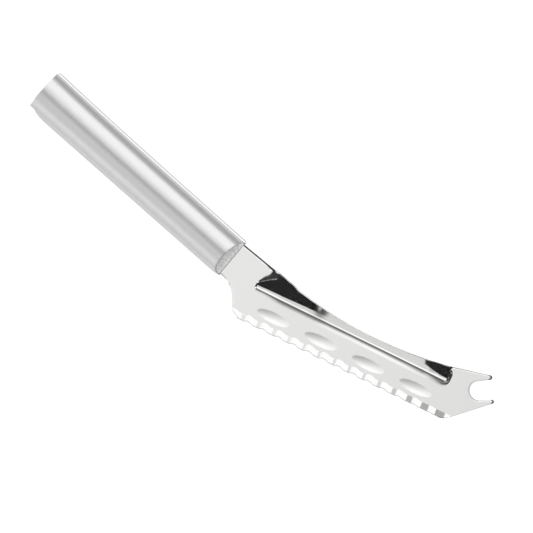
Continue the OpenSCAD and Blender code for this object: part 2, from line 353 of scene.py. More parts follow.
def rib_end(v, place, draw):
    """Where the rib begins or ends at a height v."""
    far, below, height = draw
    return ease(v, *place) + far * smooth((CREST_V - below - v) / height)


def rib_lift(u, v):
    """Height of the rib above the flat face: dish, steep flank, crest, narrow bar and sloped strip."""
    v = v - crest_rise(u)
    flank = ease(u, *FLANK_WIDTH)
    dish = ease(u, *DISH_TILT)
    strip = ease(u, *STRIP_TILT)
    bar_end = CREST_V + ease(u, *BAR_WIDTH)
    foot = CREST_V - flank
    knots = [(foot + place, dish * share) for place, share in DISH_KNOTS]
    knots += [(foot + flank * share, tilt) for share, tilt in FLANK_KNOTS]
    knots += [(CREST_V - CREST_BEND, ease(u, *FLANK_TILT))]
    knots += [(CREST_V + place, tilt) for place, tilt in CREST_KNOTS]
    knots += [(bar_end - BAR_BEND, BAR_TILT), (bar_end + BAR_BEND, strip), (BEYOND_SPINE, strip)]
    height = profile(v, knots)
    left = rib_end(v, LEFT_PLACE, LEFT_DRAW)
    right = rib_end(v, RIGHT_PLACE, RIGHT_DRAW)
    height = height * smooth((u - left) / ease(v, *LEFT_RUN)) ** ease(v, *LEFT_SOFTNESS)
    height = height * smooth((right - u) / ease(v, *RIGHT_RUN))
    welt = smooth(1 - np.abs(u - right + WELT_W) / WELT_W) * smooth((v - CREST_V) / WELT_RUN)
    return height + WELT_HEIGHT * welt


def dimple_drop(u, v):
    """Depth of the dimples below the flat face."""
    drop = np.zeros_like(u)
    for i in range(DIMPLE_COUNT):
        a = (u - DIMPLE_START - i * DIMPLE_PITCH) / (DIMPLE_LEN / 2)
        b = (v - DIMPLE_LINE) / (DIMPLE_W / 2)
        drop = np.maximum(drop, DIMPLE_DEPTH * np.clip(1 - a * a - b * b, 0, 1))
    return drop


def sheet_lift(points):
    """How far the press moved the sheet up or down at points u, v."""
    u, v = points[:, 0], points[:, 1]
    return rib_lift(u, v) - dimple_drop(u, v)


def inside(points, loop):
    """Which points lie inside a closed loop, by counting crossings."""
    x, y = points[:, 0], points[:, 1]
    odd = np.zeros(len(points), bool)
    for (x0, y0), (x1, y1) in zip(loop, np.roll(loop, -1, axis=0)):
        if y0 == y1:
            continue
        crosses = (y0 > y) != (y1 > y)
        odd ^= crosses & (x < (x1 - x0) * (y - y0) / (y1 - y0) + x0)
    return odd


# Arcs of the blade's outline in u and v, and the front of the heel below the choil
choil_arc = arc((HANDLE_LEN + CHOIL_RUN, -THROAT_LOW - CHOIL_R), CHOIL_R, 90 - CHOIL_TURN, 90)
choil = [in_blade(*p) for p in choil_arc]
choil_slope = math.radians(CHOIL_TURN) + EDGE_TILT
heel_front = choil[0][0] + (choil[0][1] - HEEL_CUT) / math.tan(choil_slope)
low_tine = arc(LOW_TINE, LOW_TINE_R, BELLY_SLOPE - 90, 90 + NOTCH_LOW_SLOPE, TINE_STEP)
notch = arc(NOTCH, NOTCH_R, NOTCH_LOW_SLOPE - 90, NOTCH_TOP_SLOPE - 270, NOTCH_STEP)
top_tine = arc(TOP_TINE, TOP_TINE_R, NOTCH_TOP_SLOPE - 90, TOP_TINE_TURN, TINE_STEP)
belly_foot = low_tine[0]
belly_slope = math.radians(BELLY_SLOPE)


def heel_start():
    """Where the bevel runs out on the front of the heel, found in a few rounds."""
    u = heel_front
    for _ in range(HEEL_ROUNDS):
        v = float(top_v(u))
        u = heel_front - (v - HEEL_CUT) / math.tan(choil_slope)
    return u, v


def rim_path():
    """The blade's outline from the end of the ground edge round the fork, spine and choil to the heel.
    Each point has the width of its rounded rim and how far the rim drops."""
    path = []

    def add(points, name):
        path.extend((*p, *RIMS[name]) for p in points)

    bevel_v = float(top_v(REACH))
    bevel_end = (belly_foot[0] - (belly_foot[1] - bevel_v) / math.tan(belly_slope), bevel_v)
    add(line(bevel_end, belly_foot), "belly")
    path[0] = (*bevel_end, 0.0, 0.0)
    add(low_tine, "low tine")
    add(line(low_tine[-1], notch[0])[1:], "low fork")
    add(notch, "notch")
    add(line(notch[-1], top_tine[0])[1:], "top fork")
    add(top_tine, "top tine")
    add(line(top_tine[-1], (HOLLOW_END_U, hollow(HOLLOW_END_U)))[1:], "tip")
    hollow_start = STEP_U + STEP_LEN
    count = int((HOLLOW_END_U - hollow_start) / LINE_STEP)
    add([(u, hollow(u)) for u in np.linspace(HOLLOW_END_U, hollow_start, count)], "hollow")

    throat = in_blade(HANDLE_LEN, THROAT_TOP)
    step_top = (STEP_U, throat[1] + (STEP_U - throat[0]) * math.tan(BACK_SLOPE - EDGE_TILT))
    hidden_x = HANDLE_LEN - HIDDEN_LEN
    hidden_top = in_blade(hidden_x, THROAT_TOP - HIDDEN_LEN * math.tan(BACK_SLOPE))
    hidden_low = in_blade(hidden_x, -THROAT_LOW)
    add(line((hollow_start, hollow(hollow_start)), step_top)[1:], "step")
    rib_start = rib_end(step_top[1], LEFT_PLACE, LEFT_DRAW)
    for p in line(step_top, hidden_top):
        bare = 1 - smooth((p[0] - rib_start) / ease(step_top[1], *LEFT_RUN))
        wide = smooth((p[0] - WIDE_RUN[0]) / WIDE_RUN[1]) * bare
        path.append((*p, *(RIMS["step"] + BARE_RIM * bare + WIDE_RIM * wide)))
    add(line(hidden_top, hidden_low), "hidden")

    width, drop = RIMS["choil"]
    path.extend((*p, width, drop + CHOIL_DROP) for p in line(hidden_low, choil[-1]))
    for i, p in enumerate(reversed(choil)):
        path.append((*p, width, drop + CHOIL_DROP * (1 - smooth(CHOIL_FADE * i / len(choil)))))
    start = heel_start()
    add(line(choil[0], start)[1:], "heel")
    path.append((*start, 0.0, 0.0))
    return soften(np.array(path), (hidden_top, hidden_low))


def soften(path, corners):
    """Fades the rims out at the ends of the path, blends neighbours, and keeps the given corners sharp."""
    gone = np.concatenate([[0], np.cumsum(np.hypot(np.diff(path[:, 0]), np.diff(path[:, 1])))])
    left = gone[-1] - gone
    path[:, 2:] *= (smooth(gone / RIM_FADE[0]) * smooth(left / RIM_FADE[1]))[:, None]
    for _ in range(BLEND_ROUNDS):
        path[1:-1, 2:] = (path[:-2, 2:] + 2 * path[1:-1, 2:] + path[2:, 2:]) / 4
    for corner in corners:
        away = np.hypot(path[:, 0] - corner[0], path[:, 1] - corner[1])
        path[:, 2:] *= smooth(away / RIM_FADE[2])[:, None]
    return path


def inward(path):
    """Unit normals of an open path that point to its left, lengthened at corners."""
    step = np.diff(path[:, :2], axis=0)
    step /= np.linalg.norm(step, axis=1)[:, None]
    side = np.stack([-step[:, 1], step[:, 0]], axis=1)
    normal = np.vstack([side[:1], side[:-1] + side[1:], side[-1:]])
    normal[1:-1] /= np.linalg.norm(normal[1:-1], axis=1)[:, None]
    share = np.ones(len(path))
    share[1:-1] = np.maximum(np.sum(normal[1:-1] * side[1:], axis=1), CORNER_LEAST)
    return normal / share[:, None]


class SheetMesh:
    """Points u, v, z and faces of the blade, made row by row."""

    def __init__(self):
        self.points = []
        self.count = 0
        self.faces = []
        self.kinds = {}

    def row(self, places, z):
        """Adds points u, v with their heights, and gives their numbers."""
        first = self.count
        self.points.append(np.column_stack([places, z]))
        self.count += len(places)
        return np.arange(first, self.count)

    def strip(self, a, b, flip=False):
        """Joins two rows by quads, and gives the number of the first."""
        first = len(self.faces)
        for i in range(len(a) - 1):
            quad = (a[i], a[i + 1], b[i + 1], b[i])
            self.faces.append(quad[::-1] if flip else quad)
        return first


def add_rim(mesh, path, normal):
    """Rounded rim: rows from the middle of the side wall up to the face, and down to the back."""
    width, drop = path[:, 2], path[:, 3]
    fronts, backs = [], []
    for k in range(RIM_STEPS + 1):
        share = k / RIM_STEPS
        row = path[:, :2] + normal * (width * share)[:, None]
        lift = sheet_lift(row)
        fall = drop * (1 - share) ** 2
        fronts.append(mesh.row(row, HALF_T + lift - fall))
        backs.append(mesh.row(row, -HALF_T + lift + fall * BACK_RIM))
    return fronts, backs


def edge_stations(first, last):
    """Places u for the ground edge's rows: evenly spaced, with the hollows' ends and the heel's front."""
    stations = list(np.arange(first, last, STATION_STEP)) + [last, heel_front]
    for k in range(FLUTE_COUNT):
        stations += [s for s in flute_span(k) if first < s < last]
    stations = np.array(sorted(stations))
    keep = np.concatenate([[True], np.diff(stations) > STATION_GAP])
    keep[-1] = True
    return stations[keep]


def lowest_v(u):
    """Height of the cutting edge where it waves, and where the heel and the belly line cut it off."""
    front = HEEL_CUT + (heel_front - u) * math.tan(choil_slope)
    slant = HEEL_CUT - (u - heel_front) * math.tan(HEEL_CUT_SLOPE)
    heel = np.where(u < heel_front, front, slant)
    # The belly line bends up from the edge on an arc and then runs straight to the low tine
    bend_len = BELLY_R * math.sin(belly_slope)
    bend_end = belly_foot[0] - (belly_foot[1] + EDGE_DEPTH) / math.tan(belly_slope)
    bend = bend_end - BELLY_R * math.tan(belly_slope / 2)
    rounded = BELLY_R - EDGE_DEPTH - np.sqrt(BELLY_R ** 2 - np.clip(u - bend, 0, bend_len) ** 2)
    straight = belly_foot[1] - (belly_foot[0] - u) * math.tan(belly_slope)
    belly = np.where(u > bend + bend_len, straight, rounded)
    return np.maximum(np.maximum(edge_v(u), heel), belly)


def add_edge(mesh, stations):
    """Ground edge: rows from the cutting edge up to the bevel's top, and the same rows on the flat back."""
    cut = edge_v(stations)
    top = top_v(stations)
    low = np.minimum(lowest_v(stations), top)
    low[[0, -1]] = top[[0, -1]]
    fronts, backs = [], []
    for share in EDGE_ROWS:
        v = low + (top - low) * share
        z = -HALF_T + np.interp(v - cut, [0, LIP_W, BEVEL_W], [LIP_FOOT, LIP_RISE, BLADE_T])
        row = np.column_stack([stations, v])
        fronts.append(mesh.row(row, z))
        backs.append(mesh.row(row, np.full(len(v), -HALF_T)))
    return fronts, backs


def join_rows(mesh, rim, edge, stations):
    """Faces of the rim with its side wall, and of the bevel with its hollows and lands."""
    fronts, backs = rim
    for k in range(RIM_STEPS):
        mesh.strip(fronts[k], fronts[k + 1])
        mesh.strip(backs[k], backs[k + 1], True)
    first = mesh.strip(fronts[0], backs[0], True)
    for i in range(first, len(mesh.faces)):
        mesh.kinds[i] = "wall"

    fronts, backs = edge
    middle = (stations[:-1] + stations[1:]) / 2
    hollowed = np.zeros(len(middle), bool)
    for k in range(FLUTE_COUNT):
        start, end = flute_span(k)
        hollowed |= (middle > start) & (middle < end)
    for k in range(len(EDGE_ROWS) - 1):
        first = mesh.strip(fronts[k], fronts[k + 1])
        # The lowest strip is the lip, which keeps the material of the face
        if k > 0:
            for i, is_hollow in enumerate(hollowed):
                mesh.kinds[first + i] = "hollow" if is_hollow else "land"
        mesh.strip(backs[k], backs[k + 1], True)
    mesh.strip(fronts[0], backs[0], True)


def grid_points(loop):
    """A grid over the face inside the loop, closer at the rib's two ends and along its crest."""
    lines_u = [np.arange(GRID_START[0], REACH, GRID)] + [np.arange(*lines) for lines in END_LINES]
    crest = CREST_V + np.array(CREST_LINES)
    lines_v = np.arange(GRID_START[1], GRID_TOP, GRID)
    lines_v = lines_v[(lines_v < crest[0] - CREST_CLEAR) | (lines_v > crest[-1] + CREST_CLEAR)]
    lines_v = np.sort(np.concatenate([lines_v, crest]))
    grid = np.array([(u, v + crest_rise(u)) for u in np.sort(np.concatenate(lines_u)) for v in lines_v])
    return grid[inside(grid, loop)]


def dimple_outline(i):
    """Outline of one dimple."""
    angles = np.linspace(0, 2 * math.pi, OVAL_POINTS, endpoint=False)
    u = DIMPLE_START + i * DIMPLE_PITCH + DIMPLE_LEN / 2 * np.cos(angles)
    return np.column_stack([u, DIMPLE_LINE + DIMPLE_W / 2 * np.sin(angles)])


def triangles(loop):
    """Triangles that fill the loop, with the dimples' outlines among their edges.
    Gives the points, the triangles, and for each point the places in the loop that it comes from."""
    ovals = [dimple_outline(i) for i in range(DIMPLE_COUNT)]
    fixed = np.vstack([loop] + ovals)
    tree = kdtree.KDTree(len(fixed))
    for i, p in enumerate(fixed):
        tree.insert((*p, 0), i)
    tree.balance()
    grid = grid_points(loop)
    free = np.array([tree.find((*p, 0))[2] > POINT_CLEAR for p in grid])
    edges = []
    start = len(loop)
    for oval in ovals:
        edges += [(start + i, start + (i + 1) % len(oval)) for i in range(len(oval))]
        start += len(oval)
    points = [Vector(p) for p in np.vstack([fixed, grid[free]])]
    result = delaunay_2d_cdt(points, edges, [list(range(len(loop)))], 1, TINY)
    places = np.array([(p[0], p[1]) for p in result[0]])
    sources = [[s for s in origin if s < len(loop)] for origin in result[3]]
    return places, result[2], sources


def blade_mesh():
    """The blade as one closed mesh: points, faces, and the kind of each face that isn't plain."""
    mesh = SheetMesh()
    path = rim_path()
    normal = inward(path)
    rim = add_rim(mesh, path, normal)
    stations = edge_stations(path[-1, 0], path[0, 0])
    edge = add_edge(mesh, stations)
    join_rows(mesh, rim, edge, stations)

    # Face and back: the same triangles, between the rim's last row and the bevel's top
    bevel_top = np.column_stack([stations, top_v(stations)])
    loop = np.vstack([path[:, :2] + normal * path[:, 2:3], bevel_top[1:-1]])
    places, tris, sources = triangles(loop)
    lift = sheet_lift(places)
    for side, height, order in ((0, HALF_T, 1), (1, -HALF_T, -1)):
        loop_ids = np.concatenate([rim[side][-1], edge[side][-1][1:-1]])
        ids = mesh.row(places, height + lift)
        for i, origin in enumerate(sources):
            if origin:
                ids[i] = loop_ids[origin[-1]]
        mesh.faces.extend(tuple(ids[i] for i in tri[::order]) for tri in tris)

    points = np.vstack(mesh.points)
    x, y = in_knife(points[:, 0], points[:, 1])
    return np.column_stack([x, y, points[:, 2]]), mesh.faces, mesh.kinds


def make_object(name, points, faces):
    """A Blender object from points in millimetres and faces."""
    mesh = bpy.data.meshes.new(name)
    mesh.from_pydata([tuple(p) for p in to_row(points)], [], [tuple(int(i) for i in f) for f in faces])
    mesh.validate()
    obj = bpy.data.objects.new(name, mesh)
    bpy.context.scene.collection.objects.link(obj)
    return obj


def clean(obj, sharp_angle):
    """Joins doubled points, drops loose ones and marks the sharp edges."""
    bm = bmesh.new()
    bm.from_mesh(obj.data)
    bmesh.ops.remove_doubles(bm, verts=bm.verts, dist=2 * TINY)
    bmesh.ops.dissolve_degenerate(bm, edges=bm.edges, dist=TINY)
    loose = [v for v in bm.verts if not v.link_faces]
    bmesh.ops.delete(bm, geom=loose, context="VERTS")
    for face in bm.faces:
        face.smooth = True
    for edge in bm.edges:
        if len(edge.link_faces) == 2:
            edge.smooth = edge.calc_face_angle(0) < sharp_angle
    bm.to_mesh(obj.data)
    bm.free()


def section(x):
    """Half of the handle's section at x, from the middle of the lower side to the middle of the land."""
    lower = LOWER_REACH - LOWER_TAPER * x / HANDLE_LEN
    top = LAND_HEIGHT - LAND_FALL * (1 - math.exp(-x / LAND_FALL_LEN))
    # The upper arc reaches the land at its edge
    upper = (top - WIDEST_Y) / math.sqrt(1 - (LAND_HALF / HALF_THICK) ** 2)
    angles = np.linspace(0, math.pi / 2, LOWER_STEPS)
    points = [(WIDEST_Y - lower * math.cos(a), HALF_THICK * math.sin(a)) for a in angles]
    angles = np.linspace(0, math.acos(LAND_HALF / HALF_THICK), UPPER_STEPS)[1:]
    points += [(WIDEST_Y + upper * math.sin(a), HALF_THICK * math.cos(a)) for a in angles]
    points += [(top, LAND_HALF * share) for share in LAND_SHARES]
    out = np.array(points)
    if x < RELIEF[0][-1]:
        out[:, 0] = np.maximum(out[:, 0], np.interp(x, *RELIEF))
    return out


def full_section(x):
    """The handle's whole section at x, as a closed ring."""
    half = section(x)
    other = half[-2:0:-1] * np.array([1, -1])
    return np.vstack([half, other])


def shrink(ring, by):
    """The ring moved inwards by a distance."""
    ahead = np.roll(ring, -1, axis=0) - ring
    behind = ring - np.roll(ring, 1, axis=0)
    run = ahead / np.maximum(np.linalg.norm(ahead, axis=1), TINY)[:, None]
    run = run + behind / np.maximum(np.linalg.norm(behind, axis=1), TINY)[:, None]
    run /= np.maximum(np.linalg.norm(run, axis=1), TINY)[:, None]
    return ring + np.column_stack([run[:, 1], -run[:, 0]]) * by


def nose_x(ring):
    """How far the nose reaches at each point of a ring: it slopes back from the blade to both sides."""
    return HANDLE_LEN - NOSE_BACK * np.clip((np.abs(ring[:, 1]) - HALF_T) / (HALF_THICK - HALF_T), 0, 1)


def bumps(ring):
    """Height of the nose's rough bumps at each point of a ring."""
    total = np.zeros(len(ring))
    for size, seed, height in NOSE_BUMPS:
        total += height * np.array([noise.noise(Vector((p[0] * size, p[1] * size, seed))) for p in ring])
    return total


def handle_rings():
    """Rings from the middle of the butt to the middle of the nose, each with its kind of surface."""
    rings, kinds = [], []

    def add(ring, x, kind):
        rings.append(np.column_stack([np.broadcast_to(x, len(ring)), ring]))
        kinds.append(kind)

    # Butt, with a rounded edge
    butt = full_section(0)
    inner = shrink(butt, EDGE_ROUND)
    for share in BUTT_SHARES:
        add(BUTT_MIDDLE + (inner - BUTT_MIDDLE) * share, 0.0, "butt")
    for turn in np.linspace(0, math.pi / 2, END_RINGS + 1):
        add(shrink(butt, EDGE_ROUND * (1 - math.sin(turn))), EDGE_ROUND * (1 - math.cos(turn)), "side")

    # Sides, with closer rings along the cut-off corner of the butt
    slope_start = HANDLE_LEN - NOSE_BACK
    wide = np.arange(WIDE_RINGS_START, slope_start - WIDE_RINGS_STEP, WIDE_RINGS_STEP)
    for x in [*np.arange(*CLOSE_RINGS), *wide]:
        add(full_section(x), x, "side")

    # The last rings lean over to the sloping nose and go round its edge, where the last two belong to its rim
    last = slope_start - LEAN_LEN
    end = full_section(slope_start)
    for k in range(1, END_RINGS + 1):
        add(end, last + (nose_x(end) - EDGE_ROUND - last) * k / END_RINGS, "side")
    for k in range(1, END_RINGS + 1):
        turn = math.pi / 2 * k / END_RINGS
        ring = shrink(end, EDGE_ROUND * (1 - math.cos(turn)))
        add(ring, nose_x(ring) - EDGE_ROUND * (1 - math.sin(turn)), "rim" if k > END_RINGS - 2 else "side")

    # Rough nose, whose outermost rings are its rim
    inner = shrink(end, EDGE_ROUND)
    for share in np.linspace(*NOSE_SHARES):
        ring = NOSE_MIDDLE + (inner - NOSE_MIDDLE) * share
        x = np.minimum(nose_x(ring) - NOSE_SINK + bumps(ring), HANDLE_LEN)
        add(ring, x, "rim" if share > NOSE_RIM_SHARE else "nose")
    return rings, kinds


def handle_mesh():
    """The casting as one closed mesh: points, faces and the kind of each face."""
    rings, kinds = handle_rings()
    points = np.vstack(rings)
    # The lower front corner is dressed round
    low = smooth((-points[:, 1] - FRONT_LOW) / FRONT_LOW_RUN)
    points[:, 1] += FRONT_ROUND * low * smooth((points[:, 0] - HANDLE_LEN + FRONT_RUN) / FRONT_RUN)
    size = len(rings[0])
    corner = len(section(0)) - len(LAND_SHARES) - 1
    land_places = range(corner, corner + 2 * len(LAND_SHARES))
    faces, slots = [], []
    for r in range(len(rings) - 1):
        kind = kinds[r + 1] if kinds[r + 1] in ("rim", "nose") else kinds[r]
        a, b = r * size, (r + 1) * size
        for i in range(size):
            j = (i + 1) % size
            faces.append((a + i, b + i, b + j, a + j))
            slots.append("land" if kind == "side" and i in land_places else kind)
    last = (len(rings) - 1) * size
    faces += [range(size), range(last + size - 1, last - 1, -1)]
    slots += ["butt", "nose"]
    return points, faces, slots


class Nodes:
    """A short way to build a node tree: every call adds one node and links its inputs."""

    def __init__(self, tree):
        self.tree = tree

    def add(self, kind, inputs=None, **settings):
        node = self.tree.nodes.new(kind)
        for name, value in settings.items():
            setattr(node, name, value)
        for key, value in (inputs or {}).items():
            socket = node.inputs[key]
            if isinstance(value, bpy.types.NodeSocket):
                self.tree.links.new(value, socket)
            else:
                socket.default_value = value
        return node

    def math(self, operation, a, b=0.0):
        """A sum, product or other operation on two values."""
        return self.add("ShaderNodeMath", {0: a, 1: b}, operation=operation).outputs[0]

    def ramp(self, factor, stops):
        """A tone that changes through a list of stops: each is a place from 0 to 1, and a level or colour."""
        node = self.add("ShaderNodeValToRGB", {"Fac": factor})
        ramp = node.color_ramp
        while len(ramp.elements) > 1:
            ramp.elements.remove(ramp.elements[-1])
        ramp.elements[0].position = stops[0][0]
        for i, (place, value) in enumerate(stops):
            element = ramp.elements[0] if i == 0 else ramp.elements.new(place)
            colour = (value, value, value) if np.isscalar(value) else value
            element.color = (*colour, 1)
        return node.outputs["Color"]

    def span(self, value, low, high, to_low, to_high):
        """The stretch from low to high, mapped to another and held at its ends."""
        node = self.add("ShaderNodeMapRange", {
            "Value": value, "From Min": low, "From Max": high, "To Min": to_low, "To Max": to_high
        })
        return node.outputs[0]

    def blend(self, factor, a, b):
        """The value a where the factor is 0, and b where it is 1."""
        return self.add("ShaderNodeMix", {"Factor": factor, 2: a, 3: b}, data_type="FLOAT").outputs[0]

    def place(self):
        """The place on the piece, in metres."""
        return self.add("ShaderNodeTexCoord").outputs["Object"]

    def axis(self, vector, name):
        """One part of a vector."""
        return self.add("ShaderNodeSeparateXYZ", {"Vector": vector}).outputs[name]

    def noise(self, vector, scale, detail, **inputs):
        """Soft noise from 0 to 1."""
        inputs = {"Vector": vector, "Scale": scale, "Detail": detail, **inputs}
        return self.add("ShaderNodeTexNoise", inputs).outputs["Fac"]

    def surface(self, shader):
        """Makes a shader the material's surface."""
        self.add("ShaderNodeOutputMaterial", {"Surface": shader.outputs[0]})


def material(name):
    """A new material and its empty node tree."""
    mat = bpy.data.materials.new(name)
    mat.use_nodes = True
    mat.node_tree.nodes.clear()
    return mat, Nodes(mat.node_tree)


# Layers of fine lines on metal: fineness along and across as shares of the number of lines, detail, shift
# and share of the whole
FINE_LINES = (1.0, 0.02, 3.0, 0.0, 0.6)
BROAD_LINES = (0.2, 0.01, 2.0, 0.31, 0.4)
LINES_ROUGHNESS = 0.6
# The part of the layers' sum that is used, and how much it moves a metal's roughness up and down
LINES_SPAN = (0.3, 0.7)
ROUGHNESS_SWING = 0.1
WAVE_DETAIL = 2.0


def layer(nodes, lean, lines, look):
    """One layer of fine lines: noise that changes fast along one direction and slowly across it."""
    along, across, detail, shift, share = look
    turned = nodes.add("ShaderNodeMapping", {
        "Vector": nodes.place(), "Rotation": (0, 0, -lean), "Location": (shift, 0, 0)
    })
    scaled = nodes.add("ShaderNodeMapping", {
        "Vector": turned.outputs[0], "Scale": (lines * along, lines * across, lines * across)
    })
    fine = nodes.noise(scaled.outputs[0], 1.0, detail, Roughness=LINES_ROUGHNESS)
    return nodes.math("MULTIPLY", fine, share)


def metal(name, colour, metallic, roughness, lines, spread, shade, relief, lean=0.0, wave=(0.0, 300.0)):
    """Ground or brushed metal: fine lines in colour, roughness and relief over a slow waviness.
    The lines lean from the Y axis, and spread draws the reflections out across them.
    A satin ground surface scatters part of the light, which is what metallic leaves over.
    Relief and the wave's height are in metres. Lines and the wave's other number say how fine each is."""
    mat, nodes = material(name)
    both = nodes.math("ADD", layer(nodes, lean, lines, FINE_LINES), layer(nodes, lean, lines, BROAD_LINES))
    dark = tuple(c * (1 - shade) for c in colour)
    low, high = LINES_SPAN
    tone = nodes.ramp(both, [(low, dark), (high, colour)])
    swing = roughness * ROUGHNESS_SWING
    rough = nodes.span(both, low, high, roughness - swing, roughness + swing)
    slow = nodes.noise(nodes.place(), wave[1], WAVE_DETAIL)
    first = nodes.add("ShaderNodeBump", {"Height": both, "Strength": 1.0, "Distance": relief})
    second = nodes.add("ShaderNodeBump", {
        "Height": slow, "Strength": 1.0, "Distance": wave[0], "Normal": first.outputs[0]
    })
    across = nodes.add("ShaderNodeCombineXYZ", {"X": math.cos(lean), "Y": math.sin(lean), "Z": 0.0})
    nodes.surface(nodes.add("ShaderNodeBsdfPrincipled", {
        "Base Color": tone, "Metallic": metallic, "Roughness": rough, "Anisotropic": spread,
        "Tangent": across.outputs[0], "Normal": second.outputs[0]
    }))
    return mat


# Cast surface: fineness of its grain and its pits, how much the pits count, its tones and its depth in metres
CAST_GRAIN = 900.0
CAST_DETAIL = 4.0
CAST_PITS = 1300.0
PITS_SHARE = 0.4
CAST_TONES = ((0.5, 0.6), (0.8, 0.95))
CAST_DEPTH = 0.0001
# Painted light on the nose by height in metres: a painted shade line where it meets the blade, and a painted
# highlight band beside it
NOSE_REACH = (0.0085, 0.0165)
NOSE_PAINTED_LIGHT = [(0.00922, 0.6), (0.0097, 1.0), (0.0109, 1.0), (0.0117, 0.8)]


def cast_metal(name, strength):
    """Aluminium as it leaves the mould: dull and pitted, with painted shade and highlight. Strength scales
    its colour.
    """
    mat, nodes = material(name)
    coarse = nodes.noise(nodes.place(), CAST_GRAIN, CAST_DETAIL)
    pits = nodes.add("ShaderNodeTexVoronoi", {"Vector": nodes.place(), "Scale": CAST_PITS})
    both = nodes.math("ADD", coarse, nodes.math("MULTIPLY", pits.outputs["Distance"], PITS_SHARE))
    grey = nodes.ramp(both, [(height, tone * strength) for height, tone in CAST_TONES])
    bump = nodes.add("ShaderNodeBump", {"Height": both, "Strength": 1.0, "Distance": CAST_DEPTH})
    nodes.surface(nodes.add("ShaderNodeBsdfPrincipled", {
        "Base Color": grey, "Metallic": 0.2, "Roughness": 0.46, "Normal": bump.outputs[0]
    }))
    # Painted shade where the nose meets the blade, and a painted highlight band beside it
    tone_along(mat, "Z", NOSE_REACH, NOSE_PAINTED_LIGHT)
    return mat


def tone_along(mat, axis, reach, stops):
    """Scales a material's colour along an axis of the knife: each stop is a place in metres and a factor.
    Reach is the whole stretch in which the stops lie."""
    nodes = Nodes(mat.node_tree)
    shader = next(n for n in mat.node_tree.nodes if n.type == "BSDF_PRINCIPLED")
    tone = shader.inputs["Base Color"].links[0].from_socket
    low, high = reach
    place = nodes.span(nodes.axis(nodes.place(), axis), low, high, 0.0, 1.0)
    factor = nodes.ramp(place, [((where - low) / (high - low), share) for where, share in stops])
    scaled = nodes.add("ShaderNodeVectorMath", {0: tone, 1: factor}, operation="MULTIPLY").outputs["Vector"]
    mat.node_tree.links.new(scaled, shader.inputs["Base Color"])


# Tones of the steel along the knife, in metres from its middle: the lands get darker towards the tip, and the
# wall has painted reflection: painted dark, and bright along the middle of the blade and beside the notch
KNIFE_REACH = (-0.13, 0.13)
LAND_TONES = [(0.03, 1.0), (0.078, 0.83), (0.085, 0.71), (0.092, 0.58), (0.1, 0.51), (0.108, 0.49)]
WALL_PAINTED_REFLECTION = [
    (0.03, 0.06), (0.052, 0.9), (0.08, 0.9), (0.09, 0.06), (0.1, 0.06), (0.108, 0.95), (0.112, 0.95),
    (0.114, 0.05)
]
# Painted highlight on the handle's land, by height in metres: its front half is painted brighter
TOP_REACH = (0.0078, 0.0084)
LAND_PAINTED_HIGHLIGHT = [(0.0078, 0.5), (0.0084, 1.0)]


def blade_materials():
    """Steel of the face, of the ground hollows, of the lands between them and of the sheared side wall,
    whose tones along the knife are painted reflection.
    """
    steel = metal(
        "ground_steel", (0.86, 0.86, 0.85), metallic=1.0, roughness=0.07, lines=9000, lean=EDGE_TILT,
        spread=0.3, shade=0.04, relief=2e-7
    )
    hollows = metal(
        "ground_edge", (0.995, 0.995, 0.99), metallic=0.05, roughness=0.45, lines=7000, lean=EDGE_TILT,
        spread=0.6, shade=0.03, relief=4e-7
    )
    lands = metal(
        "ground_land", (0.95, 0.95, 0.94), metallic=0.25, roughness=0.35, lines=3500, lean=EDGE_TILT,
        spread=0.5, shade=0.12, relief=2e-6
    )
    tone_along(lands, "X", KNIFE_REACH, LAND_TONES)
    wall = metal(
        "sheared_wall_painted_reflection", (0.8, 0.8, 0.79), metallic=0.8, roughness=0.4, lines=3500, lean=EDGE_TILT,
        spread=0.3, shade=0.2, relief=2e-6
    )
    # Painted reflection on the side wall: dark, and bright along the middle of the blade and beside the notch
    tone_along(wall, "X", KNIFE_REACH, WALL_PAINTED_REFLECTION)
    return {"face": steel, "hollow": hollows, "land": lands, "wall": wall}


def handle_materials():
    """Brushed aluminium of the sides and of the land, whose brighter colour is a painted highlight, and the
    rough cast nose with its rim, whose darker colour is painted shade.
    """
    brushed = metal(
        "brushed_aluminium", (0.86, 0.87, 0.86), metallic=0.66, roughness=0.3, lines=9000,
        spread=0.6, shade=0.08, relief=1e-6, wave=(5e-6, 650)
    )
    # The land is the same brushed aluminium in a brighter colour: a painted highlight
    land = metal(
        "brushed_land_painted_highlight", (0.97, 0.98, 0.97), metallic=0.6, roughness=0.32, lines=9000,
        spread=0.6, shade=0.05, relief=5e-7
    )
    tone_along(land, "Z", TOP_REACH, LAND_PAINTED_HIGHLIGHT)
    return {
        "side": brushed, "butt": brushed, "land": land,
        # The rim is the same cast metal painted darker: painted shade along the nose's outline
        "nose": cast_metal("rough_casting", 1.0), "rim": cast_metal("casting_rim_painted_shade", 0.6)
    }


def paint(obj, materials, kinds):
    """Gives each face the material of its kind: kinds are pairs of a face's number and its kind."""
    slots = list(dict.fromkeys(materials.values()))
    for mat in slots:
        obj.data.materials.append(mat)
    for i, kind in kinds:
        obj.data.polygons[i].material_index = slots.index(materials[kind])


points, faces, kinds = blade_mesh()
blade = make_object("blade_stamping", points, faces)
paint(blade, blade_materials(), kinds.items())
clean(blade, BLADE_SHARP)

points, faces, kinds = handle_mesh()
handle = make_object("handle_casting", points, faces)
paint(handle, handle_materials(), enumerate(kinds))
clean(handle, HANDLE_SHARP)

for piece, node, slot in ((blade, "blade", "blade_steel"), (handle, "handle", "handle_aluminium")):
    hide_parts(node)
    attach(piece, "root")

# Camera: the view's direction and turn, its scale, and the pixel of the middle of the butt
SIDE_ANGLE = math.radians(6.5)
UP_ANGLE = math.radians(13.0)
IMAGE_TURN = math.radians(-41.6)
PIXELS_PER_MM = 2.234
FRAME_PIXELS = 533
BUTT_PIXEL = (45.0, 89.4)
DISTANCE_MM = 10000.0
SENSOR = 36.0
CLIP_END = 100.0


